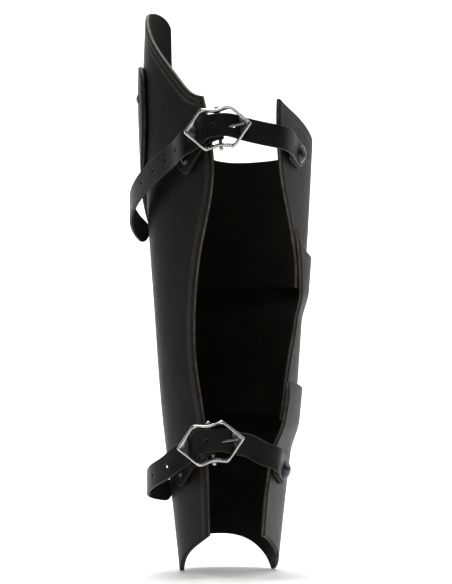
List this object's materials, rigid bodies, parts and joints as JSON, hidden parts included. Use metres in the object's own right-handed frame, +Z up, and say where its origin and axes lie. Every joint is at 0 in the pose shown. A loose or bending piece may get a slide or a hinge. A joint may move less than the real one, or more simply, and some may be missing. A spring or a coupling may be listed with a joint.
{
  "type": "leather greave",
  "caption": "Leather lower-leg armour: side panel with knee peak, three lapped plates, calf opening closed by two buckled straps.",
  "frame": {"origin": "on the leg's axis, level with the lowest points of the hem", "axes": "+Z up the leg, the calf opening faces -Y, the lapped plates are on the +X side"},
  "size_m": [0.1563, 0.1775, 0.4752],
  "materials": {
    "shell_leather": "satin",
    "strap_leather": "satin",
    "buckle_metal": "antique satin",
    "prong_steel": "satin",
    "rivet_metal": "polished black nickel",
    "washer_metal": "satin"
  },
  "bodies": {
    "shell": {"side_panel": "shell_leather", "upper_plate": "shell_leather", "middle_plate": "shell_leather", "lower_plate": "shell_leather", "plate_rivets": "rivet_metal", "plate_rivet_washers": "washer_metal", "upper_strap": "strap_leather", "upper_strap_spacer": "strap_leather", "upper_chape": "strap_leather", "upper_chape_rivets": "rivet_metal", "upper_chape_washers": "washer_metal", "upper_strap_rivet": "rivet_metal", "upper_strap_washer": "washer_metal", "lower_strap": "strap_leather", "lower_strap_spacer": "strap_leather", "lower_chape": "strap_leather", "lower_chape_rivets": "rivet_metal", "lower_chape_washers": "washer_metal", "lower_strap_rivet": "rivet_metal", "lower_strap_washer": "washer_metal"},
    "upper_buckle": {"upper_buckle_frame": "buckle_metal", "upper_buckle_bar": "buckle_metal"},
    "upper_prong": {"upper_buckle_prong": "prong_steel"},
    "upper_tail": {"upper_strap_tail": "strap_leather"},
    "lower_buckle": {"lower_buckle_frame": "buckle_metal", "lower_buckle_bar": "buckle_metal"},
    "lower_prong": {"lower_buckle_prong": "prong_steel"},
    "lower_tail": {"lower_strap_tail": "strap_leather"}
  },
  "joints": [
    {"name": "upper_buckle_rock", "type": "hinge", "parent": "shell", "child": "upper_buckle", "pos_m": [-0.0234, -0.09, 0.37], "axis": [0.1113, -0.0496, -0.9925], "range_deg": [-1.2, 1.2]},
    {"name": "upper_prong_lift", "type": "hinge", "parent": "upper_buckle", "child": "upper_prong", "pos_m": [-0.0234, -0.09, 0.37], "axis": [0.1113, -0.0496, -0.9925], "range_deg": [0, 4]},
    {"name": "upper_tail_bend", "type": "hinge", "parent": "shell", "child": "upper_tail", "pos_m": [-0.05169, -0.07644, 0.35727], "axis": [-0.2877, 0.3829, 0.8778], "range_deg": [0, 50]},
    {"name": "lower_buckle_rock", "type": "hinge", "parent": "shell", "child": "lower_buckle", "pos_m": [-0.0246, -0.0632, 0.112], "axis": [0.1553, -0.0445, -0.9869], "range_deg": [-1.2, 1.2]},
    {"name": "lower_prong_lift", "type": "hinge", "parent": "lower_buckle", "child": "lower_prong", "pos_m": [-0.0246, -0.0632, 0.112], "axis": [0.1553, -0.0445, -0.9869], "range_deg": [0, 4]},
    {"name": "lower_tail_bend", "type": "hinge", "parent": "shell", "child": "lower_tail", "pos_m": [-0.05255, -0.05517, 0.09889], "axis": [-0.5295, 0.2685, 0.8047], "range_deg": [0, 50]}
  ]
}
